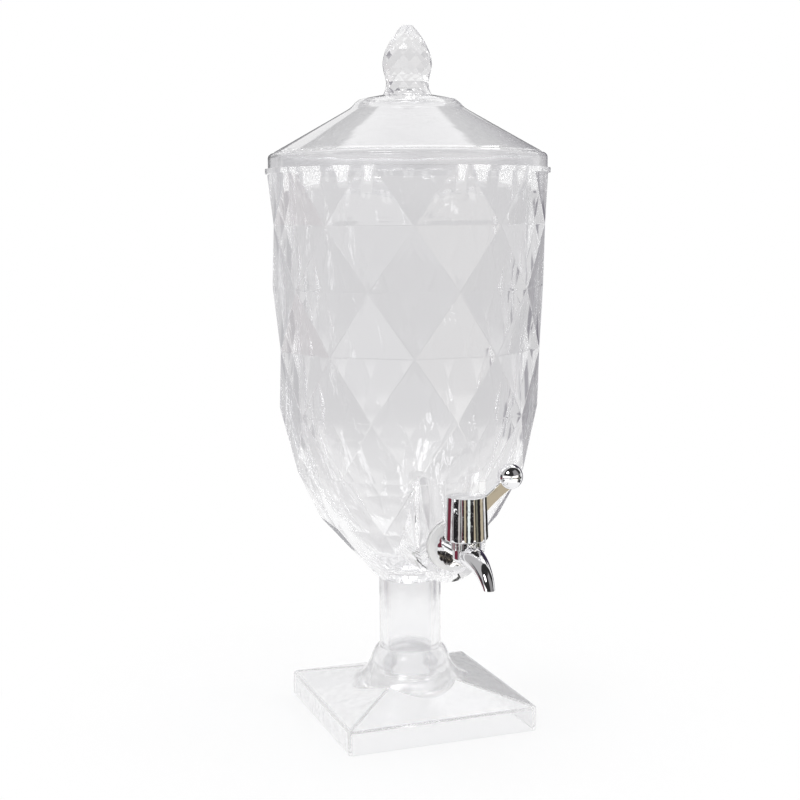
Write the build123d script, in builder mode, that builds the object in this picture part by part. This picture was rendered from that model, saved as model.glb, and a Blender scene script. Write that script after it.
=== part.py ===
from build123d import *
from math import acos, cos, radians, sin, sqrt, tan
import os

os.makedirs("parts", exist_ok=True)

# Clear faceted juice dispenser on a square foot, with a lift-off lid and a quarter-turn tap.
# Millimetres, +Z up. The origin is on the reservoir's axis at the table, and the tap points along -Y.

# Fits
push_clearance = 0.1
running_clearance = 0.05
hole_clearance = 0.3
face_gap = 0.2

# Direction of the tap round the axis, where the facet columns start
front_angle = -90

# Square foot and its collar
foot_side = 136.6
foot_corner = 3.6
foot_edge = 16.6
foot_slope = 16.2
foot_wall = 3.0
foot_edge_round = 1.8
foot_base_round = 0.8
bell_radius = 47.0
bell_rise = 19.7
collar_wall = 5.6
collar_height = 7.3
collar_lip = 0.9
ledge_thickness = 3.0

# Stem
stem_radius = 21.7
stem_wall = 6.2
stem_visible = 49.7
spigot_step = 3.6
spigot_height = 8.0

# Reservoir
columns = 10
bands = 7
row_overrun = 4.2
last_band = 53.4
rim_radius = 96.6
body_height = 281.0
wall_taper = 2.3
bowl_height = 125.0
bowl_foot_radius = 26.0
wall = 3.0
rim_band = 3.4
rim_lip = 0.4
neck_height = 3.8
neck_lip = 0.3
floor_thickness = 4.4
floor_round = 8.0

# Tap pad
pad_row = 5
pad_set_back = 0.15
pad_wall = 3.6
pad_overrun = 6.0

# Lid
lid_set_back = 1.6
lid_skirt = 6.8
lid_corner = 3.3
lid_step_width = 1.0
lid_step_height = 0.9
lid_wall = 2.6
lid_slope = 29.5
lid_shoulder_radius = 40.8
lid_shoulder_width = 8.3
lid_shoulder_rise = 6.9
lid_crown_rise = 3.0
lid_ring_depth = 7.0
lid_ring_wall = 2.2
lid_ring_clearance = 0.5

# Knob
knob_columns = 12
knob_bands = 11
knob_height = 46.0
knob_foot_radius = 16.7
knob_waist_radius = 14.4
knob_waist_height = 7.0
knob_radius = 16.9
knob_widest_height = 20.5
knob_tip_length = 29.4
knob_fullness = 1.8
knob_peg_radius = 5.0

# Tap
tap_rise = 35.2
tap_reach = 26.4
washer_radius = 16.4
washer_thickness = 3.0
shank_radius = 7.9
hub_radius = 12.6
hub_length = 4.8
hub_flutes = 16
hub_flute_radius = 1.6
nut_flats = 24.0
nut_sides = 6
nut_thickness = 8.0
shank_end = 2.5
shank_neck_radius = 5.0
passage_radius = 2.6
chamber_radius = 8.7
chamber_wall = 1.6
chamber_round = 3.0
neck_ring_radius = 9.6
neck_ring_height = 5.4
neck_ring_flutes = 14
neck_ring_flute_radius = 1.3
spout_reach = 36.4
spout_drop = 14.6
spout_bend_reach = 27.0
spout_bend_rise = 2.0
spout_root_radius = 6.4
spout_belly_radius = 7.2
spout_belly_share = 0.25
spout_tip_radius = 3.7
spout_wall = 1.2
spout_stations = 5

# Valve plug
plug_radius = 5.5
plug_port_radius = 2.5
plug_foot = 0.8
plug_stem_radius = 4.2
plug_drive = 4.6
ring_section = 0.9
ring_spacing = 6.5
gland_height = 3.5
gland_radius = 7.0

# Handle
barrel_radius = 14.2
barrel_top_radius = 13.1
barrel_height = 28.2
barrel_rise = 9.4
barrel_flutes = 12
barrel_flute_radius = 9.0
barrel_flute_depth = 0.9
barrel_top_round = 1.4
barrel_bottom_round = 2.4
barrel_bore_clearance = 0.4
cap_radius = 10.0
cap_thickness = 2.2
cap_crown = 0.8
cap_ledge = 1.5
screw_space = 2.8
web_thickness = 5.0
screw_radius = 1.4
screw_length = 8.0
screw_head_radius = 4.0
screw_head_height = 2.2
ball_radius = 8.3
ball_reach = 30.4
ball_lift = 10.6
arm_angle = 39.0
arm_drop = 1.5
arm_half_waist = 4.0
arm_half_end = 4.7
arm_thickness = 5.0
arm_edge_round = 0.6
pin_radius = 1.4
pin_length = 7.0


# Heights up the stack, each from the one below it
def foot_top(distance):
    """Height of the foot's sloping top, square to a side, at a distance from the axis."""
    return foot_edge + (foot_side / 2 - distance) * tan(radians(foot_slope))


def foot_underside(distance):
    """Height of the slope's lower face at the same place."""
    return foot_top(distance) - foot_wall / cos(radians(foot_slope))


bell_foot = foot_top(bell_radius)
collar_base = bell_foot + bell_rise
collar_top = collar_base + collar_height
stem_seat = foot_underside(stem_radius) + ledge_thickness
neck_face = collar_top + stem_visible
bowl_foot = neck_face + neck_height
rim_top = bowl_foot + body_height

# Outer line of the reservoir: a tapered wall, and an arc that leaves it and ends at the bowl's foot
half_column = 180 / columns
valley_depth = rim_radius * (1 - cos(radians(half_column)))
taper = radians(wall_taper)
bowl_top = bowl_foot + bowl_height
bowl_top_radius = rim_radius - (rim_top - bowl_top) * tan(taper)
bowl_in = bowl_top_radius - bowl_foot_radius
bowl_arc = (bowl_in**2 + bowl_height**2) / (2 * (bowl_in * cos(taper) - bowl_height * sin(taper)))
arc_centre_radius = bowl_top_radius - bowl_arc * cos(taper)
arc_centre_height = bowl_top + bowl_arc * sin(taper)
wall_length = (rim_top - bowl_top) / cos(taper)
arc_end = acos((bowl_foot_radius - arc_centre_radius) / bowl_arc)
outer_length = wall_length + bowl_arc * (arc_end - taper)


def arc_radius_at(height, inset):
    """Distance from the axis to the bowl's arc, set in by a wall, at a height."""
    return arc_centre_radius + sqrt((bowl_arc - inset) ** 2 - (height - arc_centre_height) ** 2)


def outer_point(distance):
    """Radius and height of the outer line at a distance down it from the rim."""
    if distance < wall_length:
        return (rim_radius - distance * sin(taper), rim_top - distance * cos(taper))
    turn = taper + (distance - wall_length) / bowl_arc
    return (arc_centre_radius + bowl_arc * cos(turn), arc_centre_height - bowl_arc * sin(turn))


def facet_solid(rows, count, first_angle):
    """Solid of triangular facets between rows of corners, each row turned half a column from the last."""
    rings = []
    for index, (radius, height) in enumerate(rows):
        turn = first_angle + (index % 2) * 180 / count
        angles = [radians(turn + 360 * step / count) for step in range(count)]
        rings.append([(radius * cos(angle), radius * sin(angle), height) for angle in angles])
    faces = [Face(Wire.make_polygon(rings[0])), Face(Wire.make_polygon(rings[-1]))]
    for index in range(len(rings) - 1):
        straight, turned = rings[index], rings[index + 1]
        if index % 2:
            straight, turned = turned, straight
        for step in range(count):
            following = (step + 1) % count
            faces.append(Face(Wire.make_polygon([straight[step], straight[following], turned[step]])))
            faces.append(Face(Wire.make_polygon([turned[step], turned[following], straight[following]])))
    return Solid(Shell(faces))


# Square foot: a hollow shell with a sloping top that sweeps up into a round collar
collar_radius = stem_radius + collar_wall
slope_end = collar_radius
stem_bore = stem_radius - stem_wall
inner_half = foot_side / 2 - foot_wall
inner_corner = foot_corner - foot_wall

with BuildPart() as base_foot:
    with BuildSketch():
        RectangleRounded(foot_side, foot_side, foot_corner)
    extrude(amount=foot_edge)
    with BuildSketch(Plane.XY.offset(foot_edge)):
        RectangleRounded(foot_side, foot_side, foot_corner)
    with BuildSketch(Plane.XY.offset(foot_top(slope_end))):
        RectangleRounded(2 * slope_end, 2 * slope_end, 2 * foot_corner * slope_end / foot_side)
    loft()
    fillet(base_foot.edges().filter_by_position(Axis.Z, 0, 0), foot_base_round)
    fillet(base_foot.edges().filter_by_position(Axis.Z, foot_edge, foot_edge), foot_edge_round)
    with BuildSketch(Plane.XZ):
        with BuildLine():
            bell_start = (bell_radius, bell_foot - face_gap)
            Polyline((0, foot_edge), (bell_radius, foot_edge), bell_start)
            bell_tangent = (-cos(radians(foot_slope)), sin(radians(foot_slope)))
            bell = TangentArc(bell_start, (collar_radius, collar_base), tangent=bell_tangent)
            shoulder = TangentArc(bell @ 1, (stem_radius + collar_lip, collar_top), tangent=bell % 1)
            Polyline(shoulder @ 1, (0, collar_top), (0, foot_edge))
        make_face()
    revolve(axis=Axis.Z)
    with BuildSketch():
        RectangleRounded(2 * inner_half, 2 * inner_half, inner_corner)
    extrude(amount=foot_underside(inner_half), mode=Mode.SUBTRACT)
    with BuildSketch(Plane.XY.offset(foot_underside(inner_half))):
        RectangleRounded(2 * inner_half, 2 * inner_half, inner_corner)
    with BuildSketch(Plane.XY.offset(foot_underside(stem_radius))):
        RectangleRounded(2 * stem_radius, 2 * stem_radius, inner_corner * stem_radius / inner_half)
    loft(mode=Mode.SUBTRACT)
    with BuildSketch(Plane.XY.offset(stem_seat)):
        Circle(stem_radius + push_clearance)
    extrude(amount=collar_top - stem_seat, mode=Mode.SUBTRACT)
    with BuildSketch():
        Circle(stem_bore)
    extrude(amount=collar_top, mode=Mode.SUBTRACT)
base_foot.part.label = "base_foot"
export_step(base_foot.part, "parts/base_foot.step")

# Stem: a plain tube that stands on the collar's ledge, with a spigot for the reservoir's neck
spigot_radius = stem_radius - spigot_step
spigot_top = neck_face + spigot_height

with BuildPart() as stem_tube:
    with BuildSketch(Plane.XY.offset(stem_seat)):
        Circle(stem_radius)
    extrude(amount=neck_face - stem_seat)
    with BuildSketch(Plane.XY.offset(neck_face)):
        Circle(spigot_radius)
    extrude(amount=spigot_height)
    with BuildSketch(Plane.XY.offset(stem_seat)):
        Circle(stem_bore)
    extrude(amount=spigot_top - stem_seat, mode=Mode.SUBTRACT)
stem_tube.part.label = "stem_tube"
export_step(stem_tube.part, "parts/stem_tube.step")

# Reservoir: faceted outside, smooth inside, with a flat pad for the tap and a neck for the stem
row_spacing = (outer_length + row_overrun - last_band) / (bands - 1)
row_distances = [row * row_spacing - row_overrun for row in range(bands)] + [outer_length]
rows = [outer_point(distance) for distance in row_distances]
tap_height = bowl_foot + tap_rise
pad_corner_radius, pad_row_height = rows[pad_row]
pad_reach = pad_corner_radius * cos(radians(half_column)) - pad_set_back
pad_half = pad_corner_radius * sin(radians(half_column)) - pad_set_back
pad_tall = pad_row_height + pad_overrun - tap_height
cavity_inset = wall + valley_depth
mouth_radius = rim_radius - cavity_inset / cos(taper)
socket_top = spigot_top + face_gap
floor_height = socket_top + floor_thickness
floor_radius = arc_radius_at(floor_height, cavity_inset)
cavity_bend = (bowl_top_radius - cavity_inset * cos(taper), bowl_top + cavity_inset * sin(taper))


def tap_plane(y):
    """Upright plane across the tap's shank, facing out of the reservoir."""
    return Plane((0, y, tap_height), x_dir=(1, 0, 0), z_dir=(0, -1, 0))


def pad_outline(half):
    """U-shaped outline of the tap pad, round below and open upwards."""
    Circle(half)
    with Locations((0, pad_tall / 2)):
        Rectangle(2 * half, pad_tall)


with BuildPart() as reservoir:
    add(facet_solid(rows, columns, front_angle))
    split(bisect_by=Plane.XY.offset(rim_top), keep=Keep.BOTTOM)
    with BuildSketch(Plane.XY.offset(rim_top - rim_band)):
        Circle(rim_radius + rim_lip)
    extrude(amount=rim_band)
    with BuildSketch(Plane.XZ):
        with BuildLine():
            neck_corner = (stem_radius + neck_lip, neck_face)
            neck_end = (bowl_foot_radius * cos(radians(half_column)), bowl_foot)
            Polyline((0, floor_height), (0, neck_face), neck_corner)
            TangentArc(neck_corner, neck_end, tangent=(0, 1))
            Polyline(neck_end, (neck_end[0], floor_height), (0, floor_height))
        make_face()
    revolve(axis=Axis.Z)
    with BuildSketch(tap_plane(-pad_reach)):
        pad_outline(pad_half)
    extrude(amount=stem_radius - pad_reach)
    with BuildSketch(Plane.XZ) as cavity:
        with BuildLine():
            Polyline((0, rim_top), (mouth_radius, rim_top), cavity_bend)
            TangentArc(cavity_bend, (floor_radius, floor_height), tangent=(-sin(taper), -cos(taper)))
            Polyline((floor_radius, floor_height), (0, floor_height), (0, rim_top))
        make_face()
        fillet(cavity.vertices().group_by(Axis.Y)[0].sort_by(Axis.X)[-1], floor_round)
    revolve(axis=Axis.Z, mode=Mode.SUBTRACT)
    with BuildSketch(tap_plane(pad_wall - pad_reach)):
        pad_outline(pad_half - pad_wall)
    extrude(amount=stem_radius + pad_wall - pad_reach, mode=Mode.SUBTRACT)
    with BuildSketch(tap_plane(-pad_reach)):
        Circle(shank_radius + hole_clearance)
    extrude(amount=-2 * pad_wall, mode=Mode.SUBTRACT)
    with BuildSketch(Plane.XY.offset(neck_face)):
        Circle(spigot_radius + push_clearance)
    extrude(amount=socket_top - neck_face, mode=Mode.SUBTRACT)
reservoir.part.label = "reservoir"
export_step(reservoir.part, "parts/reservoir.step")

# Lid: skirt, small step, cone, rounded shoulder and crown, with a ring that hangs inside the mouth
slope_rise = tan(radians(lid_slope))
lid_radius = rim_radius - lid_set_back
cone_radius = lid_radius - lid_corner - lid_step_width
cone_foot = rim_top + lid_skirt + lid_corner + lid_step_height
cone_top = cone_foot + (cone_radius - lid_shoulder_radius) * slope_rise
crown_radius = lid_shoulder_radius - lid_shoulder_width
crown_edge = cone_top + lid_shoulder_rise
knob_seat = crown_edge + lid_crown_rise
lid_drop = lid_wall / cos(radians(lid_slope))
ring_radius = mouth_radius - lid_ring_clearance
ring_inner = ring_radius - lid_ring_wall
ring_bottom = rim_top - lid_ring_depth
skirt_inner = lid_radius - lid_wall
ring_joint = cone_foot + (cone_radius - ring_inner) * slope_rise - lid_drop
shoulder_middle = (lid_shoulder_radius - lid_shoulder_width / 2, cone_top + lid_shoulder_rise / 2)


def lid_top_line(drop):
    """Cone, shoulder and crown of the lid, lowered by the wall for the underside."""
    start_radius = ring_inner if drop else cone_radius
    start = (start_radius, cone_foot + (cone_radius - start_radius) * slope_rise - drop)
    middle = (shoulder_middle[0], shoulder_middle[1] - drop)
    cone = Line(start, (lid_shoulder_radius, cone_top - drop))
    hollow = TangentArc(cone @ 1, middle, tangent=cone % 1)
    TangentArc(hollow @ 1, (crown_radius, crown_edge - drop), tangent=hollow % 1)
    Polyline((crown_radius, crown_edge - drop), (knob_foot_radius, knob_seat - drop), (0, knob_seat - drop))


with BuildPart() as lid:
    with BuildSketch(Plane.XZ):
        with BuildLine():
            skirt = Line((lid_radius, rim_top), (lid_radius, rim_top + lid_skirt))
            corner_end = (lid_radius - lid_corner, rim_top + lid_skirt + lid_corner)
            TangentArc(skirt @ 1, corner_end, tangent=skirt % 1)
            Polyline(corner_end, (cone_radius, corner_end[1]), (cone_radius, cone_foot))
            lid_top_line(0)
            Line((0, knob_seat), (0, knob_seat - lid_drop))
            lid_top_line(lid_drop)
            Polyline((ring_inner, ring_joint), (ring_inner, ring_bottom), (ring_radius, ring_bottom))
            Polyline((ring_radius, ring_bottom), (ring_radius, rim_top + lid_skirt))
            Polyline((ring_radius, rim_top + lid_skirt), (skirt_inner, rim_top + lid_skirt))
            Polyline((skirt_inner, rim_top + lid_skirt), (skirt_inner, rim_top), (lid_radius, rim_top))
        make_face()
    revolve(axis=Axis.Z)
    with BuildSketch(Plane.XY.offset(knob_seat)):
        Circle(knob_peg_radius + push_clearance)
    extrude(amount=-lid_drop, mode=Mode.SUBTRACT)
lid.part.label = "lid"
export_step(lid.part, "parts/lid.step")


# Knob: a faceted bud with a flared foot, and a peg that fills the lid's hole
def knob_radius_at(rise):
    """Radius of the bud at a height above its seat: flared foot, swelling body and pointed tip."""
    if rise < knob_waist_height:
        flare = (knob_waist_height - rise) / knob_waist_height
        return knob_waist_radius + (knob_foot_radius - knob_waist_radius) * flare**2
    if rise < knob_widest_height:
        part_way = (rise - knob_waist_height) / (knob_widest_height - knob_waist_height)
        swell = (1 - cos(radians(180 * part_way))) / 2
        return knob_waist_radius + (knob_radius - knob_waist_radius) * swell
    return knob_radius * (1 - ((rise - knob_widest_height) / knob_tip_length) ** knob_fullness)


knob_rises = [knob_height * band / knob_bands for band in range(knob_bands + 1)]
knob_rows = [(knob_radius_at(rise), knob_seat + rise) for rise in knob_rises]

with BuildPart() as lid_knob:
    add(facet_solid(knob_rows, knob_columns, front_angle))
    with BuildSketch(Plane.XY.offset(knob_seat)):
        Circle(knob_peg_radius)
    extrude(amount=-lid_drop)
lid_knob.part.label = "lid_knob"
export_step(lid_knob.part, "parts/lid_knob.step")

# Washers on both sides of the pad, and the nut inside
washer_hole = shank_radius + hole_clearance
pad_inside = pad_wall - pad_reach
nut_face = pad_inside + washer_thickness
nut_back = nut_face + nut_thickness
hub_face = -pad_reach - washer_thickness

with BuildPart() as outer_washer:
    with BuildSketch(tap_plane(-pad_reach)):
        Circle(washer_radius)
        Circle(washer_hole, mode=Mode.SUBTRACT)
    extrude(amount=washer_thickness)
outer_washer.part.label = "outer_washer"
export_step(outer_washer.part, "parts/outer_washer.step")

with BuildPart() as inner_washer:
    with BuildSketch(tap_plane(pad_inside)):
        Circle(washer_radius)
        Circle(washer_hole, mode=Mode.SUBTRACT)
    extrude(amount=-washer_thickness)
inner_washer.part.label = "inner_washer"
export_step(inner_washer.part, "parts/inner_washer.step")

with BuildPart() as lock_nut:
    with BuildSketch(tap_plane(nut_face)):
        RegularPolygon(nut_flats / 2, nut_sides, major_radius=False)
        Circle(shank_radius + push_clearance, mode=Mode.SUBTRACT)
    extrude(amount=-nut_thickness)
lock_nut.part.label = "lock_nut"
export_step(lock_nut.part, "parts/lock_nut.step")

# Heights in the tap, from its shank up to the lever's ball
tap_axis = -pad_reach - tap_reach
barrel_bottom = tap_height + barrel_rise
barrel_top = barrel_bottom + barrel_height
web_top = barrel_top - cap_thickness - screw_space
web_bottom = web_top - web_thickness
chamber_top = web_bottom - hole_clearance
gland_seat = chamber_top - gland_height
plug_shoulder = gland_seat - push_clearance
plug_bore = plug_radius + running_clearance
chamber_floor = tap_height - passage_radius - plug_foot
chamber_bottom = chamber_floor - chamber_wall
neck_ring_bottom = barrel_bottom - hole_clearance - neck_ring_height
plug_bottom = chamber_floor + face_gap


def axis_plane(height):
    """Level plane centred on the tap's upright axis."""
    return Plane((0, tap_axis, height))


def axis_section(height):
    """Upright plane through the tap's axis, seen from the front."""
    return Plane((0, tap_axis, height), x_dir=(1, 0, 0), z_dir=(0, -1, 0))


def spout_plane(share):
    """Plane across the spout, part of the way from the chamber to its level mouth."""
    ahead = 2 * share * (1 - share) * spout_bend_reach + share**2 * spout_reach
    down = share**2 * spout_drop - 2 * share * (1 - share) * spout_bend_rise
    slope_ahead = (1 - share) * spout_bend_reach + share * (spout_reach - spout_bend_reach)
    slope_down = share * (spout_drop + spout_bend_rise) - (1 - share) * spout_bend_rise
    heading = (0, 0, -1) if share == 1 else (0, -slope_ahead, -slope_down)
    return Plane((0, tap_axis - ahead, tap_height - down), x_dir=(1, 0, 0), z_dir=heading)


def spout_radius(share):
    """Outer radius of the spout: it swells to the belly, then narrows to the tip."""
    if share < spout_belly_share:
        return spout_root_radius + (spout_belly_radius - spout_root_radius) * share / spout_belly_share
    part_way = (share - spout_belly_share) / (1 - spout_belly_share)
    return spout_belly_radius + (spout_tip_radius - spout_belly_radius) * part_way


spout_shares = [station / (spout_stations - 1) for station in range(spout_stations)]

# Tap body: upright chamber, threaded shank, slim neck, ribbed hub, ribbed neck ring and the curved spout
with BuildPart() as tap_body:
    with BuildSketch(axis_plane(chamber_bottom)):
        Circle(chamber_radius)
    extrude(amount=chamber_top - chamber_bottom)
    fillet(tap_body.edges().group_by(Axis.Z)[0], chamber_round)
    with BuildSketch(tap_plane(nut_back + shank_end)):
        Circle(shank_radius)
    extrude(amount=nut_back + shank_end - hub_face)
    with BuildSketch(tap_plane(hub_face)):
        Circle(shank_neck_radius)
    extrude(amount=hub_face - tap_axis)
    with BuildSketch(tap_plane(hub_face)):
        Circle(hub_radius)
        with PolarLocations(hub_radius + hub_flute_radius / 2, hub_flutes):
            Circle(hub_flute_radius, mode=Mode.SUBTRACT)
    extrude(amount=hub_length)
    with BuildSketch(axis_plane(neck_ring_bottom)):
        Circle(neck_ring_radius)
        with PolarLocations(neck_ring_radius + neck_ring_flute_radius / 2, neck_ring_flutes):
            Circle(neck_ring_flute_radius, mode=Mode.SUBTRACT)
    extrude(amount=neck_ring_height)
    for share in spout_shares:
        with BuildSketch(spout_plane(share)):
            Circle(spout_radius(share))
    loft()
    with BuildSketch(tap_plane(nut_back + shank_end)):
        Circle(passage_radius)
    extrude(amount=nut_back + shank_end - tap_axis, mode=Mode.SUBTRACT)
    for share in spout_shares:
        with BuildSketch(spout_plane(share)):
            Circle(passage_radius + (spout_tip_radius - spout_wall - passage_radius) * share)
    loft(mode=Mode.SUBTRACT)
    with BuildSketch(axis_plane(chamber_floor)):
        Circle(plug_bore)
    extrude(amount=chamber_top - chamber_floor, mode=Mode.SUBTRACT)
    with BuildSketch(axis_plane(gland_seat)):
        Circle(gland_radius + push_clearance)
    extrude(amount=gland_height, mode=Mode.SUBTRACT)
tap_body.part.label = "tap_body"
export_step(tap_body.part, "parts/tap_body.step")

# Gland ring that keeps the plug down
with BuildPart() as gland_ring:
    with BuildSketch(axis_plane(gland_seat)):
        Circle(gland_radius)
        Circle(plug_stem_radius + running_clearance, mode=Mode.SUBTRACT)
    extrude(amount=gland_height)
gland_ring.part.label = "gland_ring"
export_step(gland_ring.part, "parts/gland_ring.step")

# Valve plug: cross hole at the shank's height, two ring grooves, and a square drive for the handle
groove_radius = plug_radius - 2 * ring_section
ring_heights = [tap_height + ring_spacing, tap_height + 2 * ring_spacing]

with BuildPart() as valve_plug:
    with BuildSketch(axis_plane(plug_bottom)):
        Circle(plug_radius)
    extrude(amount=plug_shoulder - plug_bottom)
    with BuildSketch(axis_plane(plug_shoulder)):
        Circle(plug_stem_radius)
    extrude(amount=web_bottom - plug_shoulder)
    with BuildSketch(axis_plane(web_bottom)):
        Rectangle(plug_drive, plug_drive)
    extrude(amount=web_thickness - face_gap)
    with BuildSketch(Plane((0, tap_axis, tap_height), z_dir=(1, 0, 0))):
        Circle(plug_port_radius)
    extrude(amount=plug_radius, both=True, mode=Mode.SUBTRACT)
    for height in ring_heights:
        with BuildSketch(axis_plane(height - ring_section - push_clearance)):
            Circle(plug_radius)
            Circle(groove_radius, mode=Mode.SUBTRACT)
        extrude(amount=2 * (ring_section + push_clearance), mode=Mode.SUBTRACT)
    with BuildSketch(axis_plane(web_top)):
        Circle(screw_radius + running_clearance)
    extrude(amount=-screw_length, mode=Mode.SUBTRACT)
valve_plug.part.label = "valve_plug"
export_step(valve_plug.part, "parts/valve_plug.step")

# O-rings in the plug's grooves
ring_middle = plug_radius - ring_section

with BuildPart() as plug_ring_lower:
    with Locations((0, tap_axis, ring_heights[0])):
        Torus(ring_middle, ring_section - running_clearance)
plug_ring_lower.part.label = "plug_ring_lower"
export_step(plug_ring_lower.part, "parts/plug_ring_lower.step")

with BuildPart() as plug_ring_upper:
    with Locations((0, tap_axis, ring_heights[1])):
        Torus(ring_middle, ring_section - running_clearance)
plug_ring_upper.part.label = "plug_ring_upper"
export_step(plug_ring_upper.part, "parts/plug_ring_upper.step")

# Handle: fluted barrel over the chamber, with a waisted lever arm that rises to the ball
ball_height = barrel_top + ball_lift
arm_rise = radians(arm_angle)
arm_root = (ball_reach - cap_radius) / cos(arm_rise)
arm_start = ball_radius / 2
arm_middle = (arm_root + ball_radius) / 2
barrel_bore = chamber_radius + barrel_bore_clearance
arm_plane = Plane(
    (ball_reach + arm_drop * sin(arm_rise), tap_axis, ball_height - arm_drop * cos(arm_rise)),
    x_dir=(-cos(arm_rise), 0, -sin(arm_rise)),
    z_dir=(0, -1, 0),
)
pin_plane = Plane((ball_reach, tap_axis, ball_height), z_dir=(-cos(arm_rise), 0, -sin(arm_rise)))

with BuildPart() as lever_arm:
    with BuildSketch(arm_plane):
        with BuildLine():
            lower = ThreePointArc(
                (arm_start, arm_half_end), (arm_middle, arm_half_waist), (arm_root, arm_half_end)
            )
            upper = ThreePointArc(
                (arm_start, -arm_half_end), (arm_middle, -arm_half_waist), (arm_root, -arm_half_end)
            )
            Line(lower @ 0, upper @ 0)
            Line(lower @ 1, upper @ 1)
        make_face()
    extrude(amount=arm_thickness / 2, both=True)
    fillet(lever_arm.edges().filter_by(GeomType.CIRCLE), arm_edge_round)

with BuildPart() as tap_handle:
    for height, radius in ((barrel_bottom, barrel_radius), (barrel_top, barrel_top_radius)):
        with BuildSketch(axis_plane(height)):
            Circle(radius)
            flute_circle = radius + barrel_flute_radius - barrel_flute_depth
            with PolarLocations(flute_circle, barrel_flutes, start_angle=180 / barrel_flutes):
                Circle(barrel_flute_radius, mode=Mode.SUBTRACT)
    loft()
    with BuildSketch(axis_section(barrel_bottom)) as barrel_side:
        with BuildLine():
            top_corner = (barrel_top_radius, barrel_height)
            Polyline((0, 0), (barrel_radius, 0), top_corner, (0, barrel_height), close=True)
        make_face()
        outer_corners = barrel_side.vertices().group_by(Axis.X)
        fillet(outer_corners[-1], barrel_bottom_round)
        fillet(outer_corners[-2], barrel_top_round)
    revolve(axis=Axis((0, tap_axis, 0), (0, 0, 1)), mode=Mode.INTERSECT)
    add(lever_arm.part)
    with BuildSketch(axis_plane(barrel_bottom)):
        Circle(barrel_bore)
    extrude(amount=web_bottom - barrel_bottom, mode=Mode.SUBTRACT)
    with BuildSketch(axis_plane(web_bottom)):
        Rectangle(plug_drive + 2 * push_clearance, plug_drive + 2 * push_clearance)
    extrude(amount=web_thickness, mode=Mode.SUBTRACT)
    with BuildSketch(axis_plane(web_top)):
        Circle(cap_radius - cap_ledge)
    extrude(amount=screw_space, mode=Mode.SUBTRACT)
    with BuildSketch(axis_plane(barrel_top - cap_thickness)):
        Circle(cap_radius + push_clearance)
    extrude(amount=cap_thickness + barrel_radius, mode=Mode.SUBTRACT)
    with Locations((ball_reach, tap_axis, ball_height)):
        Sphere(ball_radius + running_clearance, mode=Mode.SUBTRACT)
    with BuildSketch(pin_plane):
        Circle(pin_radius + running_clearance)
    extrude(amount=ball_radius + pin_length, mode=Mode.SUBTRACT)
tap_handle.part.label = "tap_handle"
export_step(tap_handle.part, "parts/tap_handle.step")

# Ball with its pin in the arm
with BuildPart() as lever_ball:
    with Locations((ball_reach, tap_axis, ball_height)):
        Sphere(ball_radius)
    with BuildSketch(pin_plane):
        Circle(pin_radius)
    extrude(amount=ball_radius + pin_length - face_gap)
lever_ball.part.label = "lever_ball"
export_step(lever_ball.part, "parts/lever_ball.step")

# Crowned disc that closes the barrel over the screw
with BuildPart() as handle_cap:
    with BuildSketch(axis_section(barrel_top)):
        with BuildLine():
            Polyline((0, cap_crown), (0, -cap_thickness), (cap_radius, -cap_thickness), (cap_radius, 0))
            TangentArc((0, cap_crown), (cap_radius, 0), tangent=(1, 0))
        make_face()
    revolve(axis=Axis((0, tap_axis, 0), (0, 0, 1)))
handle_cap.part.label = "handle_cap"
export_step(handle_cap.part, "parts/handle_cap.step")

# Screw down through the handle's web into the plug
with BuildPart() as handle_screw:
    with BuildSketch(axis_plane(web_top)):
        Circle(screw_head_radius)
    extrude(amount=screw_head_height)
    with BuildSketch(axis_plane(web_top)):
        Circle(screw_radius)
    extrude(amount=face_gap - screw_length)
handle_screw.part.label = "handle_screw"
export_step(handle_screw.part, "parts/handle_screw.step")
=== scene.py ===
import math

import bmesh
import bpy
from mathutils import Matrix, Vector


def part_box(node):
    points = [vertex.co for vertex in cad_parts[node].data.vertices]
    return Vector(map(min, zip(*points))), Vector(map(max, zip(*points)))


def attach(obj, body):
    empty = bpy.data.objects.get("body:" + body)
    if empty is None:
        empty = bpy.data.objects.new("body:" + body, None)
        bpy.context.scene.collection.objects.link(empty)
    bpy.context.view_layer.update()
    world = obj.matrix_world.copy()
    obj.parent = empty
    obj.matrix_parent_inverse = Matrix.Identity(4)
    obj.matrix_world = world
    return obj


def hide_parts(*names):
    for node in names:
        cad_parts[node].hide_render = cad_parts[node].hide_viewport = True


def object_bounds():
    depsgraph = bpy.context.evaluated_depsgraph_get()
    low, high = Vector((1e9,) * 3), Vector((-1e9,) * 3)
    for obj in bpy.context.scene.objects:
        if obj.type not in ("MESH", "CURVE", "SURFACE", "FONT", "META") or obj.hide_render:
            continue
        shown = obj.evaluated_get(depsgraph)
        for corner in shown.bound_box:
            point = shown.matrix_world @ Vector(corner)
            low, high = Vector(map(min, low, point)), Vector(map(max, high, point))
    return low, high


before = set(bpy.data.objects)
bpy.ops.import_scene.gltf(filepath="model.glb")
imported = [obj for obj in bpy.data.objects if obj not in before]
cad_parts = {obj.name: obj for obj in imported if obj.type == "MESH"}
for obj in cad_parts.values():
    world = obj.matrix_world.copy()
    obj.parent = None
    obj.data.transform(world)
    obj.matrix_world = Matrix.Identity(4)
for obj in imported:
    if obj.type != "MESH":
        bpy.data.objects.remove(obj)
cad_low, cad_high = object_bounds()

# Camera: the photograph's standpoint, measured from the dispenser's upright axis in metres and degrees,
# and its lens in millimetres
camera_azimuth = -20.4
camera_distance = 0.9856
camera_height = 0.3566
camera_pitch = 7.608
camera_yaw = 0.36
camera_roll = 0.348
camera_lens = 64.17
sensor_width = 36.0

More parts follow.
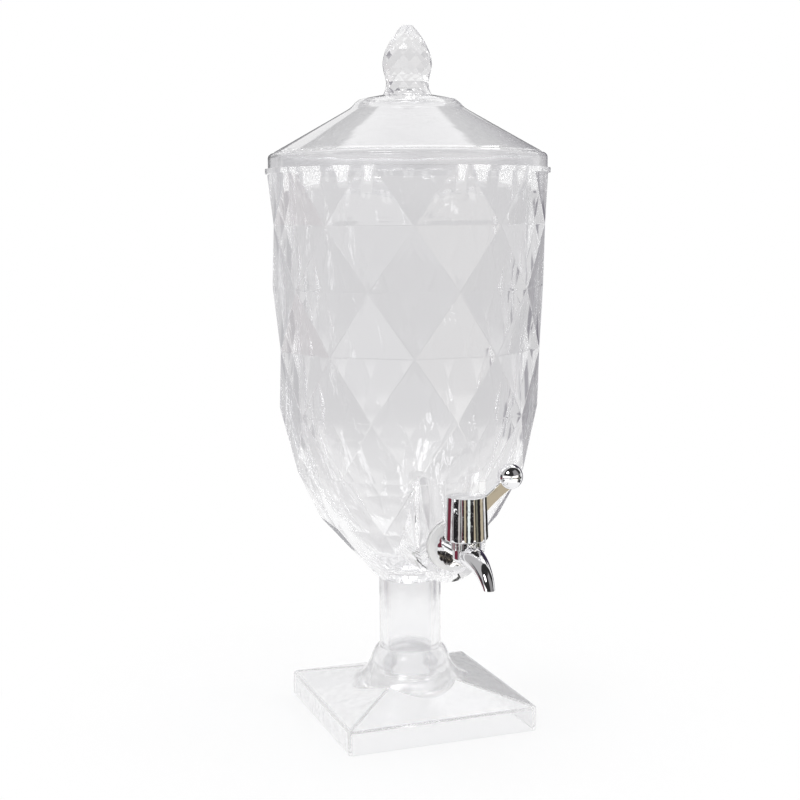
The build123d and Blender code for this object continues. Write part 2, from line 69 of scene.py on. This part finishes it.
# Floor: its size, how far from its middle the shadow fades out, how white the shadow's ground is,
# and the share of its white that shows through the clear walls
floor_radius = 0.32
floor_sides = 96
shadow_fade = (0.11, 0.308)
shadow_white = 0.65
floor_through = 0.3
floor_paper = (0.93, 0.93, 0.935, 1)

# Even light from all round
fill_level = 0.85
plain_white = (1, 1, 1, 1)

# How often light may pass or bounce in the clear walls
light_bounces = 96
shadow_layers = 16


# Node helpers

def feed(tree, value, socket):
    """Link an output to a socket, or set the socket to a number or colour."""
    if isinstance(value, bpy.types.NodeSocket):
        tree.links.new(value, socket)
    else:
        socket.default_value = value


def add_node(tree, kind, **values):
    """Add a shader node and give it its properties and inputs by name, with _ for a space."""
    node = tree.nodes.new(kind)
    for name, value in values.items():
        if hasattr(node, name):
            setattr(node, name, value)
        else:
            feed(tree, value, node.inputs[name.replace("_", " ")])
    return node


def math_node(tree, operation, *values):
    """A Math node; a value is an output or a number. Returns its output."""
    node = add_node(tree, "ShaderNodeMath", operation=operation)
    for socket, value in zip(node.inputs, values):
        feed(tree, value, socket)
    return node.outputs[0]


def mix_colour(tree, factor, first, second):
    """A colour mix; an argument is an output or a colour. Returns its output."""
    node = add_node(tree, "ShaderNodeMix", data_type="RGBA")
    sockets = [socket for socket in node.inputs if socket.enabled]
    for socket, value in zip(sockets, (factor, first, second)):
        feed(tree, value, socket)
    return next(socket for socket in node.outputs if socket.enabled)


def smooth_range(tree, value, low, high, start=0.0, end=1.0):
    """Smooth step of an output from low to high, as an output that runs from start to end."""
    node = add_node(tree, "ShaderNodeMapRange", interpolation_type="SMOOTHSTEP", Value=value,
                    From_Min=low, From_Max=high, To_Min=start, To_Max=end)
    return node.outputs["Result"]


def mix_shaders(tree, factor, first, second):
    """A mix of two shaders' outputs. Returns its output."""
    node = add_node(tree, "ShaderNodeMixShader")
    for socket, value in zip(node.inputs, (factor, first, second)):
        feed(tree, value, socket)
    return node.outputs[0]


def empty_tree(owner):
    """The node tree of a material or world, emptied."""
    owner.use_nodes = True
    owner.node_tree.nodes.clear()
    return owner.node_tree


# Camera

def place_camera():
    """Stand the camera where the photograph was taken from."""
    data = bpy.data.cameras.new("photo_camera")
    data.sensor_fit = "HORIZONTAL"
    data.sensor_width = sensor_width
    data.lens = camera_lens
    camera = bpy.data.objects.new("photo_camera", data)
    bpy.context.scene.collection.objects.link(camera)
    turn = Matrix.Rotation(math.radians(camera_azimuth), 3, "Z")
    pitch, yaw = math.radians(camera_pitch), math.radians(camera_yaw)
    level = math.cos(pitch)
    forward = turn @ Vector((-math.sin(yaw) * level, math.cos(yaw) * level, -math.sin(pitch)))
    right = forward.cross(Vector((0, 0, 1))).normalized()
    up = right.cross(forward)
    roll = Matrix.Rotation(math.radians(camera_roll), 3, forward)
    camera.rotation_mode = "QUATERNION"
    axes = Matrix((roll @ right, roll @ up, -forward)).transposed()
    camera.rotation_quaternion = axes.to_quaternion()
    camera.location = turn @ Vector((0, -camera_distance, 0)) + Vector((0, 0, camera_height))
    bpy.context.scene.camera = camera


# Studio

# Panels of the studio picture that shiny faces mirror. Each one: azimuth of the view that looks at it,
# half width and soft edge at its sides, lowest and highest elevation and soft edge at its ends,
# all in degrees, and its colour. Later panels lie over earlier ones.
mirrored_panels = [
    # the dark part of the room, behind the camera
    (180, 120, 12, -34, 9, 3, (0.05, 0.05, 0.055, 1)),
    (200, 100, 6, 14, 90, 4, (0.03, 0.03, 0.03, 1)),
    # tall softboxes to the camera's left and right, whose soft sides shade the diamonds
    (126, 12, 40, -34, 9, 3, (2.1, 2.1, 2.1, 1)),
    (203, 10, 34, -34, 9, 3, (1.8, 1.76, 1.66, 1)),
    # the dimmer top of the left one, two low lights and a grey panel at the right
    (126, 8, 14, 3, 9, 2, (1.4, 1.4, 1.4, 1)),
    (165, 10, 8, -27, -21.5, 1.5, (1.3, 1.3, 1.3, 1)),
    (165, 60, 20, -64, -38, 4, (1.9, 1.9, 1.9, 1)),
    (277, 12, 8, -20, 9, 3, (0.7, 0.7, 0.7, 1)),
    # the dark ground of the tap's stripes
    (200, 108, 4, -14.4, -6.5, 0.8, (0.02, 0.018, 0.02, 1)),
    # the white wall behind the dispenser, with bands for the lid's wedges and for thin outlines
    (-20, 56, 5, -90, 78, 5, (1.0, 1.0, 1.0, 1)),
    (-20, 40, 10, 1, 13, 3, (0.10, 0.10, 0.11, 1)),
    (-20, 12, 6, -22, -3, 3, (0.25, 0.25, 0.27, 1)),
    (-20, 50, 5, 30, 44, 3, (0.04, 0.04, 0.045, 1)),
    (-20, 50, 5, 48, 66, 3, (1.8, 1.8, 1.8, 1)),
    # uprights on that wall, grey at the left and dark at the right, for the reservoir's edges
    (14, 7, 4, -30, 30, 5, (0.36, 0.36, 0.38, 1)),
    (30, 3, 2, -30, 30, 5, (0.45, 0.45, 0.46, 1)),
    (-45, 12, 5, -30, 30, 5, (0.04, 0.03, 0.06, 1)),
    # a dim panel high at the front right
    (218, 22, 10, 18, 52, 8, (0.30, 0.295, 0.30, 1)),
    # the tap's stripes, from left to right
    (62, 16, 5, -16, -7, 0.8, (0.17, 0.028, 0.048, 1)),
    (106, 6, 4, -16, -7, 0.8, (0.60, 0.57, 0.56, 1)),
    (171, 8, 3, -16, -7, 0.8, (0.93, 1.0, 0.98, 1)),
    (205, 8, 3, -12.3, -6.5, 0.6, (0.52, 0.45, 0.33, 1)),
    (250, 8, 4, -16, -7, 0.8, (0.20, 0.20, 0.16, 1)),
]
room_grey = (0.50, 0.495, 0.50, 1)

# Panels of the picture that is seen through the clear walls, in the same terms
through_panels = [
    # the pale ground all round, greyer behind the dispenser
    (0, 180, 5, -90, -20, 8, (0.94, 0.935, 0.94, 1)),
    (0, 180, 5, -90, -30, 8, (1.0, 1.0, 1.0, 1)),
    (-20, 40, 12, -31, -16, 5, (0.82, 0.815, 0.82, 1)),
    # a grey upright behind at the left, the pale ceiling and a darker patch behind at the right
    (30, 8, 8, -20, 6, 6, (0.58, 0.575, 0.59, 1)),
    (0, 180, 5, 27, 90, 14, (0.92, 0.92, 0.92, 1)),
    (-60, 8, 6, -14, -5, 3, (0.34, 0.33, 0.36, 1)),
]
backdrop = (0.735, 0.73, 0.737, 1)

panel_sizes = ("Centre", "Half Width", "Side Softness", "Lowest", "Highest", "End Softness")
half_turn = 180


def panel_group():
    """Mask of one panel of a studio picture, from a direction's azimuth and elevation in degrees."""
    tree = bpy.data.node_groups.new("studio_panel", "ShaderNodeTree")
    for name in ("Azimuth", "Elevation") + panel_sizes:
        tree.interface.new_socket(name, in_out="INPUT", socket_type="NodeSocketFloat")
    tree.interface.new_socket("Mask", in_out="OUTPUT", socket_type="NodeSocketFloat")
    given = add_node(tree, "NodeGroupInput").outputs
    away = math_node(tree, "SUBTRACT", given["Azimuth"], given["Centre"])
    aside = math_node(tree, "ABSOLUTE", math_node(tree, "WRAP", away, half_turn, -half_turn))
    outer = math_node(tree, "ADD", given["Half Width"], given["Side Softness"])
    across = smooth_range(tree, aside, given["Half Width"], outer, 1.0, 0.0)
    bottom = math_node(tree, "SUBTRACT", given["Lowest"], given["End Softness"])
    above = smooth_range(tree, given["Elevation"], bottom, given["Lowest"])
    top = math_node(tree, "ADD", given["Highest"], given["End Softness"])
    below = smooth_range(tree, given["Elevation"], given["Highest"], top, 1.0, 0.0)
    mask = math_node(tree, "MULTIPLY", math_node(tree, "MULTIPLY", across, above), below)
    add_node(tree, "NodeGroupOutput", Mask=mask)
    return tree


def studio_picture(tree, group, azimuth, elevation, ground, panels):
    """Lay panels over a ground colour. Returns the picture's colour output."""
    colour = ground
    for *sizes, tone in panels:
        panel = add_node(tree, "ShaderNodeGroup", node_tree=group, Azimuth=azimuth, Elevation=elevation)
        for name, size in zip(panel_sizes, sizes):
            panel.inputs[name].default_value = size
        colour = mix_colour(tree, panel.outputs["Mask"], colour, tone)
    return colour


def background(tree, colour, strength=1.0):
    """A Background shader; colour is an output or a colour. Returns its output."""
    return add_node(tree, "ShaderNodeBackground", Color=colour, Strength=strength).outputs[0]


def build_world():
    """White for the camera, studio pictures for shiny and clear faces, even light for the rest."""
    world = bpy.data.worlds.new("studio")
    bpy.context.scene.world = world
    tree = empty_tree(world)
    direction = add_node(tree, "ShaderNodeTexCoord").outputs["Generated"]
    along = add_node(tree, "ShaderNodeSeparateXYZ", Vector=direction).outputs
    left = math_node(tree, "MULTIPLY", along["X"], -1)
    azimuth = math_node(tree, "DEGREES", math_node(tree, "ARCTAN2", left, along["Y"]))
    elevation = math_node(tree, "DEGREES", math_node(tree, "ARCSINE", along["Z"]))
    group = panel_group()
    mirrored = studio_picture(tree, group, azimuth, elevation, room_grey, mirrored_panels)
    through = studio_picture(tree, group, azimuth, elevation, backdrop, through_panels)
    path = add_node(tree, "ShaderNodeLightPath").outputs
    light = background(tree, plain_white, fill_level)
    light = mix_shaders(tree, path["Is Glossy Ray"], light, background(tree, mirrored))
    light = mix_shaders(tree, path["Is Transmission Ray"], light, background(tree, through))
    light = mix_shaders(tree, path["Is Camera Ray"], light, background(tree, plain_white))
    add_node(tree, "ShaderNodeOutputWorld", Surface=light)


def build_floor():
    """A pale floor that keeps the shadow and fades into the white background."""
    bpy.ops.object.select_all(action="DESELECT")
    bpy.ops.mesh.primitive_circle_add(vertices=floor_sides, radius=floor_radius, fill_type="NGON")
    floor = bpy.context.object
    floor.name = "floor"
    material = bpy.data.materials.new("floor_paper")
    tree = empty_tree(material)
    place = add_node(tree, "ShaderNodeTexCoord").outputs["Object"]
    reach = add_node(tree, "ShaderNodeVectorMath", operation="LENGTH", Vector=place).outputs["Value"]
    away = smooth_range(tree, reach, *shadow_fade, shadow_white, 1.0)
    path = add_node(tree, "ShaderNodeLightPath").outputs
    through = math_node(tree, "MULTIPLY", path["Is Transmission Ray"], floor_through)
    mirrored = math_node(tree, "MAXIMUM", path["Is Glossy Ray"], through)
    seen = math_node(tree, "MAXIMUM", path["Is Camera Ray"], mirrored)
    share = math_node(tree, "MULTIPLY", away, seen)
    paper = add_node(tree, "ShaderNodeBsdfDiffuse", Color=floor_paper)
    white = add_node(tree, "ShaderNodeEmission")
    surface = mix_shaders(tree, share, paper.outputs[0], white.outputs[0])
    add_node(tree, "ShaderNodeOutputMaterial", Surface=surface)
    floor.data.materials.append(material)


# Each lamp: name, place, size, power in watts and whether shiny faces mirror it;
# all look at the middle of the dispenser
lamps = [
    ("key_softbox", (-0.9, -0.9, 1.3), 0.55, 4.6, True),
    ("fill_softbox", (1.1, -0.7, 0.9), 0.5, 2.6, False),
    ("top_softbox", (0.0, 0.1, 1.6), 0.6, 1.8, False),
]


def build_lamps():
    """Soft area lamps round the dispenser."""
    aim = (cad_low + cad_high) / 2
    for name, place, size, power, mirrored in lamps:
        data = bpy.data.lights.new(name, "AREA")
        data.shape = "DISK"
        data.size = size
        data.energy = power
        lamp = bpy.data.objects.new(name, data)
        bpy.context.scene.collection.objects.link(lamp)
        lamp.location = place
        lamp.visible_glossy = mirrored
        lamp.rotation_mode = "QUATERNION"
        lamp.rotation_quaternion = (aim - Vector(place)).to_track_quat("-Z", "Y")


# Finishes

# Span of the grain's noise over which the gloss changes
grain_span = (0.35, 0.7)
# Refraction of the clear plastic, and the tint of the light in its shadow
plastic_ior = 1.49
shadow_tint = (0.9, 0.9, 0.905, 1)
# Heights in metres between which the plastic's colour is painted paler, as painted light:
# from the stem up into the bowl, from the wall down into the bowl, and from the lid up into the knob
bowl_foot = (0.11, 0.145)
bowl_top = (0.19, 0.225)
knob_foot = (0.428, 0.436)


def new_material(name, **values):
    """A material whose Principled shader has the values given. Returns it, its tree and its shader."""
    material = bpy.data.materials.new(name)
    tree = empty_tree(material)
    shader = add_node(tree, "ShaderNodeBsdfPrincipled", **values)
    add_node(tree, "ShaderNodeOutputMaterial", Surface=shader.outputs[0])
    return material, tree, shader


def moulding_group():
    """Slow flow waves, fine grain and gloss changes of a moulded or plated surface."""
    tree = bpy.data.node_groups.new("moulding", "ShaderNodeTree")
    for name in ("Wave Scale", "Grain Scale", "Grain Share", "Gloss Low", "Gloss High"):
        tree.interface.new_socket(name, in_out="INPUT", socket_type="NodeSocketFloat")
    for name in ("Height", "Roughness"):
        tree.interface.new_socket(name, in_out="OUTPUT", socket_type="NodeSocketFloat")
    given = add_node(tree, "NodeGroupInput").outputs
    place = add_node(tree, "ShaderNodeTexCoord").outputs["Object"]
    waves = add_node(tree, "ShaderNodeTexNoise", Vector=place, Scale=given["Wave Scale"],
                     Detail=1.5, Distortion=0.6).outputs["Fac"]
    grain = add_node(tree, "ShaderNodeTexNoise", Vector=place, Scale=given["Grain Scale"],
                     Detail=3.0).outputs["Fac"]
    height = math_node(tree, "ADD", waves, math_node(tree, "MULTIPLY", grain, given["Grain Share"]))
    gloss = smooth_range(tree, grain, *grain_span, given["Gloss Low"], given["Gloss High"])
    add_node(tree, "NodeGroupOutput", Height=height, Roughness=gloss)
    return tree


moulding = moulding_group()


def surface_detail(tree, shader, wave_scale, grain_scale, grain_share, gloss, bump, depth):
    """Feed the moulding group into a shader's roughness and normal."""
    group = add_node(tree, "ShaderNodeGroup", node_tree=moulding,
                     Wave_Scale=wave_scale, Grain_Scale=grain_scale, Grain_Share=grain_share,
                     Gloss_Low=gloss[0], Gloss_High=gloss[1])
    feed(tree, group.outputs["Roughness"], shader.inputs["Roughness"])
    relief = add_node(tree, "ShaderNodeBump", Strength=bump, Distance=depth, Height=group.outputs["Height"])
    feed(tree, relief.outputs[0], shader.inputs["Normal"])


def tint_with_painted_light(tree, tint, pale):
    """The plastic's tint with painted light, paler in the bowl and the knob. Returns its colour output."""
    place = add_node(tree, "ShaderNodeTexCoord").outputs["Object"]
    height = add_node(tree, "ShaderNodeSeparateXYZ", Vector=place).outputs["Z"]
    # painted light: a mask that makes the bowl and the knob paler
    over_stem = smooth_range(tree, height, *bowl_foot)
    under_wall = smooth_range(tree, height, *bowl_top, 1.0, 0.0)
    bowl = math_node(tree, "MULTIPLY", over_stem, under_wall)
    paler = math_node(tree, "MAXIMUM", bowl, smooth_range(tree, height, *knob_foot))
    return mix_colour(tree, paler, tint, pale)


def clear_plastic(name, tint, gloss, pale=None):
    """Clear moulded plastic with a slight waviness, whose shadow lets light through."""
    material, tree, shader = new_material(name, Base_Color=tint, IOR=plastic_ior, Transmission_Weight=1.0)
    # where pale is given, the bowl and the knob are painted paler: painted light
    if pale:
        feed(tree, tint_with_painted_light(tree, tint, pale), shader.inputs["Base Color"])
    surface_detail(tree, shader, wave_scale=28, grain_scale=240, grain_share=0.02,
                   gloss=gloss, bump=0.10, depth=0.004)
    in_shadow = add_node(tree, "ShaderNodeLightPath").outputs["Is Shadow Ray"]
    passing = add_node(tree, "ShaderNodeBsdfTransparent", Color=shadow_tint)
    surface = mix_shaders(tree, in_shadow, shader.outputs[0], passing.outputs[0])
    feed(tree, surface, tree.get_output_node("ALL").inputs["Surface"])
    return material


def chrome():
    """Chrome plate over moulded plastic."""
    material, tree, shader = new_material("chrome", Base_Color=(0.90, 0.90, 0.91, 1), Metallic=1.0)
    surface_detail(tree, shader, wave_scale=90, grain_scale=900, grain_share=0.05,
                   gloss=(0.02, 0.07), bump=0.16, depth=0.001)
    return material


def plain_plastic(name, colour, gloss, translucent=0.0):
    """A moulded plastic or rubber with fine grain."""
    material, tree, shader = new_material(name, Base_Color=colour, Transmission_Weight=translucent)
    surface_detail(tree, shader, wave_scale=60, grain_scale=1800, grain_share=0.4,
                   gloss=gloss, bump=0.12, depth=0.0006)
    return material


def screw_steel():
    """Plated steel of the handle screw."""
    material, tree, shader = new_material("screw_steel", Base_Color=(0.62, 0.62, 0.63, 1), Metallic=1.0)
    surface_detail(tree, shader, wave_scale=200, grain_scale=2500, grain_share=0.3,
                   gloss=(0.18, 0.34), bump=0.1, depth=0.0005)
    return material


finishes = {
    # the bowl's clear plastic, painted paler in the bowl and the knob as painted light
    "clear_plastic": clear_plastic("clear_plastic", (0.95, 0.95, 0.955, 1), (0.0, 0.03),
                                   pale=(0.982, 0.982, 0.985, 1)),
    "clear_stem": clear_plastic("clear_stem", (0.97, 0.97, 0.975, 1), (0.10, 0.16)),
    "clear_base": clear_plastic("clear_base", (0.93, 0.93, 0.935, 1), (0.10, 0.18)),
    "chrome": chrome(),
    "white_plastic": plain_plastic("white_plastic", (0.82, 0.82, 0.80, 1), (0.32, 0.48)),
    "silicone": plain_plastic("silicone", (0.96, 0.96, 0.955, 1), (0.5, 0.62), translucent=0.1),
    "ring_rubber": plain_plastic("ring_rubber", (0.02, 0.02, 0.022, 1), (0.45, 0.6)),
    "screw_steel": screw_steel(),
}

# The finish of each solid, which a piece that stands for it takes over
node_finish = {
    "base_foot": "clear_base",
    "stem_tube": "clear_stem",
    "reservoir": "clear_plastic",
    "lid": "clear_plastic",
    "lid_knob": "clear_plastic",
    "outer_washer": "silicone",
    "inner_washer": "silicone",
    "lock_nut": "white_plastic",
    "tap_body": "chrome",
    "gland_ring": "white_plastic",
    "valve_plug": "white_plastic",
    "plug_ring_lower": "ring_rubber",
    "plug_ring_upper": "ring_rubber",
    "tap_handle": "chrome",
    "lever_ball": "chrome",
    "handle_cap": "chrome",
    "handle_screw": "screw_steel",
}

for node, finish in node_finish.items():
    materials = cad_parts[node].data.materials
    materials.clear()
    materials.append(finishes[finish])

# Clear pieces and washers, in metres and degrees

# Air between two pieces that touch, and how near corners are one corner
joint_gap = 0.00015
merge_distance = 0.000001
# The least that an outer face's normal points away from the upright axis
outward_share = 0.25
# Facets: the least area, the most corners, and the folds that still are one facet
smallest_facet = 0.0002
facet_corners = 4
facet_fold = 0.3
# Ridges between facets: the least fold, and how they are rounded
ridge_fold = 12
ridge_round = 0.0005
ridge_segments = 2
# Rings by which a facet is sunk: their slopes, and each one's width as a share of the facet's reach
hollow_slopes = (5.5, 3.2, 1.2)
hollow_share = 0.26
# Folds that are shaded smooth, on the reservoir and on round pieces
reservoir_smooth = 32
round_smooth = 30


def merged_copy(node, name):
    """A merged copy of a solid's mesh under a new name, selected alone and in edit mode."""
    bpy.ops.object.select_all(action="DESELECT")
    piece = bpy.data.objects.new(name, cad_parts[node].data.copy())
    bpy.context.scene.collection.objects.link(piece)
    piece.select_set(True)
    bpy.context.view_layer.objects.active = piece
    bpy.ops.mesh.customdata_custom_splitnormals_clear()
    bpy.ops.object.mode_set(mode="EDIT")
    bpy.ops.mesh.select_all(action="SELECT")
    bpy.ops.mesh.remove_doubles(threshold=merge_distance)
    return piece


def ease_joint(piece, level, away):
    """Draw the corners at one level back by the joint gap, so that a hair of air parts two pieces."""
    bpy.ops.mesh.select_all(action="DESELECT")
    bpy.ops.mesh.select_mode(type="VERT")
    shape = bmesh.from_edit_mesh(piece.data)
    for corner in shape.verts:
        corner.select = abs((corner.co - level).dot(away)) < joint_gap / 10
    shape.select_flush(True)
    bmesh.update_edit_mesh(piece.data)
    bpy.ops.transform.translate(value=away * joint_gap)


def hand_over(piece, node, body):
    """Let a finished piece stand for its solid."""
    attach(piece, body)
    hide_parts(node)


def faces_outward(face):
    """Whether a face looks away from the dispenser's upright axis."""
    middle = face.calc_center_median()
    return face.normal.dot(Vector((middle.x, middle.y, 0)).normalized()) > outward_share


def is_flat(face):
    """Whether a face is one of the reservoir's large flat outer faces."""
    return face.calc_area() > smallest_facet and faces_outward(face)


def is_facet(face):
    """Whether a face is a whole facet, that the tap's pad doesn't cut into."""
    return is_flat(face) and len(face.verts) <= facet_corners


def join_facets(piece):
    """Make each facet one face again."""
    bpy.ops.mesh.select_mode(type="FACE")
    shape = bmesh.from_edit_mesh(piece.data)
    for face in shape.faces:
        face.select = faces_outward(face)
    shape.select_flush_mode()
    bmesh.update_edit_mesh(piece.data)
    bpy.ops.mesh.dissolve_limited(angle_limit=math.radians(facet_fold))


def round_ridges(piece):
    """Round the ridges where two facets meet, and keep the facets' own edges crisp."""
    bpy.ops.mesh.select_all(action="DESELECT")
    bpy.ops.mesh.select_mode(type="EDGE")
    shape = bmesh.from_edit_mesh(piece.data)
    for edge in shape.edges:
        between = len(edge.link_faces) == 2 and all(is_flat(face) for face in edge.link_faces)
        edge.select = between and edge.calc_face_angle_signed() > math.radians(ridge_fold)
    shape.select_flush(True)
    bmesh.update_edit_mesh(piece.data)
    bpy.ops.mesh.bevel(offset=ridge_round, segments=ridge_segments, affect="EDGES")


def facet_reach(face):
    """How far a facet can be sunk in from its edges, to the millimetre."""
    shortest = min(edge.calc_length() for edge in face.edges)
    return round(min(2 * face.calc_area() / face.calc_perimeter(), shortest), 3)


def hollow_facets(piece):
    """Sink each facet a little towards its middle, in rings that follow its edges."""
    bpy.ops.mesh.select_mode(type="FACE")
    shape = bmesh.from_edit_mesh(piece.data)
    for face in filter(is_flat, shape.faces):
        for edge in face.edges:
            edge.smooth = False
    facets = filter(is_facet, shape.faces)
    for reach in sorted({facet_reach(face) for face in facets}):
        shape = bmesh.from_edit_mesh(piece.data)
        for face in shape.faces:
            face.select = is_facet(face) and facet_reach(face) == reach
        shape.select_flush_mode()
        bmesh.update_edit_mesh(piece.data)
        step = reach * hollow_share
        for slope in hollow_slopes:
            sink = -step * math.tan(math.radians(slope))
            bpy.ops.mesh.inset(use_individual=True, use_even_offset=True, thickness=step, depth=sink)


def keep_smooth_walls(piece, node):
    """Give every face but the facets and ridges the solid's own smooth normals."""
    walls = piece.vertex_groups.new(name="smooth_walls")
    faces = bmesh.new()
    faces.from_mesh(piece.data)
    inner = [v.index for v in faces.verts if not any(faces_outward(face) for face in v.link_faces)]
    faces.free()
    walls.add(inner, 1.0, "REPLACE")
    transfer = piece.modifiers.new("smooth_walls", "DATA_TRANSFER")
    transfer.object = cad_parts[node]
    transfer.use_loop_data = True
    transfer.data_types_loops = {"CUSTOM_NORMAL"}
    transfer.loop_mapping = "NEAREST_POLYNOR"
    transfer.vertex_group = walls.name
    bpy.ops.object.modifier_apply(modifier=transfer.name)


def reservoir_shell():
    """The reservoir's clear shell, with polished ridges and slightly hollow facets."""
    piece = merged_copy("reservoir", "reservoir_shell")
    neck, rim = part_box("reservoir")
    ease_joint(piece, rim, Vector((0, 0, -1)))
    ease_joint(piece, neck, Vector((0, 0, 1)))
    join_facets(piece)
    round_ridges(piece)
    hollow_facets(piece)
    bpy.ops.object.mode_set(mode="OBJECT")
    bpy.ops.object.shade_smooth_by_angle(angle=math.radians(reservoir_smooth), keep_sharp_edges=True)
    keep_smooth_walls(piece, "reservoir")
    hand_over(piece, "reservoir", "stand")


def stem_pipe():
    """The clear stem, standing a hair above the foot's ledge."""
    piece = merged_copy("stem_tube", "stem_pipe")
    ease_joint(piece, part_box("stem_tube")[0], Vector((0, 0, 1)))
    bpy.ops.object.mode_set(mode="OBJECT")
    bpy.ops.object.shade_smooth_by_angle(angle=math.radians(round_smooth))
    hand_over(piece, "stem_tube", "stand")


def knob_bud():
    """The clear bud knob, a hair above the lid's crown."""
    piece = merged_copy("lid_knob", "knob_bud")
    ease_joint(piece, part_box("lid")[1], Vector((0, 0, 1)))
    bpy.ops.object.mode_set(mode="OBJECT")
    hand_over(piece, "lid_knob", "lid")


def soft_washer(node, name, side):
    """A silicone washer, a hair away from the reservoir's wall on one side: 0 its front, 1 its back."""
    piece = merged_copy(node, name)
    ease_joint(piece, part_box(node)[side], Vector((0, 1 - 2 * side, 0)))
    bpy.ops.object.mode_set(mode="OBJECT")
    bpy.ops.object.shade_smooth_by_angle(angle=math.radians(round_smooth))
    hand_over(piece, node, "stand")


reservoir_shell()
stem_pipe()
knob_bud()
soft_washer("outer_washer", "front_washer", 1)
soft_washer("inner_washer", "back_washer", 0)

# Studio and render settings

scene = bpy.context.scene
scene.view_settings.view_transform = "Standard"
scene.cycles.max_bounces = light_bounces
scene.cycles.transmission_bounces = light_bounces
scene.cycles.glossy_bounces = light_bounces
scene.cycles.transparent_max_bounces = shadow_layers

place_camera()
build_world()
build_floor()
build_lamps()
